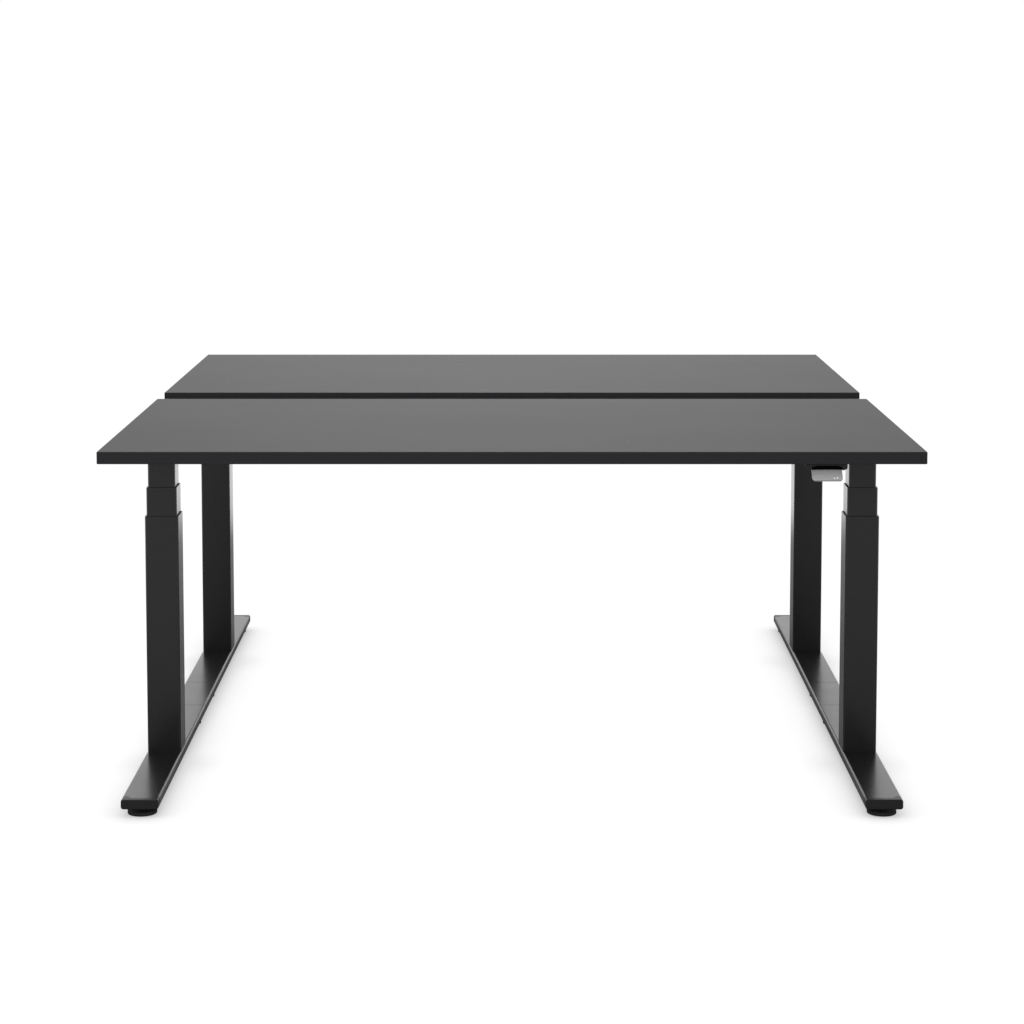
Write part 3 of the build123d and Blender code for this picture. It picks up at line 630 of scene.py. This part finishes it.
# %% Floor paint: what the desks see
SHADE_OPEN = (0.4, 1.0)
CONTACT_MIRRORED = (0.04, 0.27)
BACKDROP_REACH = (2.1, 2.8)
BACKDROP_GLOW = (0.05, 1.0)
# painted shade: the mirrored floor's colour darkens near the feet by Ambient Occlusion
shade = add_node(floor_tree, "ShaderNodeAmbientOcclusion", samples=4, Distance=CONTACT_REACH)
shade_level = ranged(floor_tree, shade.outputs["AO"], SHADE_OPEN, CONTACT_MIRRORED)
floor_at = add_node(floor_tree, "ShaderNodeTexCoord").outputs["Object"]
floor_axes = add_node(floor_tree, "ShaderNodeSeparateXYZ", Vector=floor_at).outputs
behind = math_of(floor_tree, "MAXIMUM", floor_axes["Y"], 0.0)
away = add_node(floor_tree, "ShaderNodeCombineXYZ", X=floor_axes["X"], Y=behind)
distance = add_node(
    floor_tree, "ShaderNodeVectorMath", operation="LENGTH", Vector=away.outputs["Vector"]
).outputs["Value"]
backdrop = ranged(floor_tree, distance, BACKDROP_REACH, BACKDROP_GLOW, smooth=True)
floor_mirrored = math_of(
    floor_tree, "MAXIMUM", floor_rays["Is Glossy Ray"], floor_rays["Is Transmission Ray"]
)
backdrop_level = math_of(floor_tree, "MULTIPLY", floor_mirrored, backdrop)
feed(floor_tree, floor_choice.inputs[1], glow_and_matt(backdrop_level, shade_level))
print("floor paint:", len(floor_tree.nodes), "nodes")

# %% [markdown]
# ## Air and lamps
#
# A world of one even level lights the desks from all sides. What the tops and feet mirror isn't
# even: the paper behind is brightest in the middle and near the horizon, so the tops lighten slowly
# towards the back and dim towards their ends, while the room in front stays dark, so the faces of
# the columns stay black. A large lamp overhead gives the light a direction. A smaller one in front
# reaches in under the desktop's edge, to the paddle, and no surface mirrors it.

# %% World: where a ray goes
world = bpy.data.worlds.new("studio air")
bpy.context.scene.world = world
world.use_nodes = True
air_tree = world.node_tree
air_tree.nodes.clear()
air_direction = add_node(air_tree, "ShaderNodeTexCoord").outputs["Generated"]
air_axes = add_node(air_tree, "ShaderNodeSeparateXYZ", Vector=air_direction).outputs
level_direction = add_node(
    air_tree, "ShaderNodeCombineXYZ", X=air_axes["X"], Y=air_axes["Y"]
).outputs["Vector"]
heading = add_node(
    air_tree, "ShaderNodeVectorMath", operation="NORMALIZE", Vector=level_direction
).outputs["Vector"]
heading_axes = add_node(air_tree, "ShaderNodeSeparateXYZ", Vector=heading).outputs
print("world:", world.name)

# %% World: what is mirrored
AIR_MIRRORED, PAPER_MIRRORED, FRONT_MIRRORED = 0.80, 0.50, 0.20
PAPER_SIDES = (0.275, 0.0)
PAPER_RISE = (0.28, 0.08)
BACK_HALF = (-0.45, 0.05)
sideways = math_of(air_tree, "ABSOLUTE", heading_axes["X"])
across_paper = ranged(air_tree, sideways, PAPER_SIDES, smooth=True)
low_on_paper = ranged(air_tree, air_axes["Z"], PAPER_RISE, smooth=True)
paper = math_of(air_tree, "MULTIPLY", across_paper, low_on_paper)
paper_and_air = math_of(
    air_tree, "MULTIPLY_ADD", paper, PAPER_MIRRORED, AIR_MIRRORED - FRONT_MIRRORED
)
at_the_back = ranged(air_tree, heading_axes["Y"], BACK_HALF, smooth=True)
mirrored_level = math_of(air_tree, "MULTIPLY_ADD", paper_and_air, at_the_back, FRONT_MIRRORED)
print("mirrored: front", FRONT_MIRRORED, "back", AIR_MIRRORED, "paper", PAPER_MIRRORED, "more")

# %% World: which ray gets which level
AIR_LIGHT = 0.72
SEEN_WHITE = 1.0
air_rays = add_node(air_tree, "ShaderNodeLightPath").outputs
air_mirrored = math_of(
    air_tree, "MAXIMUM", air_rays["Is Glossy Ray"], air_rays["Is Transmission Ray"]
)
unseen_level = mixed(air_tree, "FLOAT", air_mirrored, AIR_LIGHT, mirrored_level)
air_level = mixed(air_tree, "FLOAT", air_rays["Is Camera Ray"], unseen_level, SEEN_WHITE)
air = add_node(air_tree, "ShaderNodeBackground", Color=(1.0, 1.0, 1.0, 1.0), Strength=air_level)
add_node(air_tree, "ShaderNodeOutputWorld", Surface=air.outputs["Background"])
print("world:", len(air_tree.nodes), "nodes")

# %% Lamps
def soft_lamp(name, place, aim, size, power, glossy=True):
    """A square area lamp that looks at a point. Without glossy, no surface mirrors it."""
    light = bpy.data.lights.new(name, "AREA")
    light.shape = "SQUARE"
    light.size = size
    light.energy = power
    lamp = bpy.data.objects.new(name, light)
    lamp.location = place
    lamp.rotation_euler = (Vector(aim) - Vector(place)).to_track_quat("-Z", "Y").to_euler()
    lamp.visible_glossy = glossy
    bpy.context.collection.objects.link(lamp)
    return lamp


overhead = soft_lamp(
    "overhead softbox", place=(-1.6, -1.8, 4.2), aim=(0.0, 0.0, 0.4), size=2.6, power=46.0
)
in_front = soft_lamp(
    "front softbox",
    place=(-0.4, -4.8, 1.5),
    aim=(0.2, -0.6, 0.5),
    size=1.4,
    power=80.0,
    glossy=False,
)
print("lamps:", overhead.name, "and", in_front.name)

# %% [markdown]
# ## The camera
#
# The picture is taken from the middle of the front, a little under standing eye height, with a long
# lens. A camera that only tilts down makes upright columns lean together. Here the lens is shifted
# down as well, so the camera tilts less and the columns stay almost upright.

# %% Camera
SENSOR_WIDTH, LENS, LENS_SHIFT = 36.0, 84.582, -0.2
CAMERA_PLACE = (0.0, -5.4394, 1.4228)
TILT_DOWN = 5.1731
camera_data = bpy.data.cameras.new("desk camera")
camera_data.sensor_width = SENSOR_WIDTH
camera_data.lens = LENS
camera_data.shift_y = LENS_SHIFT
camera = bpy.data.objects.new("desk camera", camera_data)
camera.location = CAMERA_PLACE
camera.rotation_euler = (math.radians(90.0 - TILT_DOWN), 0.0, 0.0)
bpy.context.collection.objects.link(camera)
bpy.context.scene.camera = camera
bpy.context.scene.view_settings.view_transform = "Standard"
print("camera:", tuple(round(v, 3) for v in camera.location), "lens", camera_data.lens)
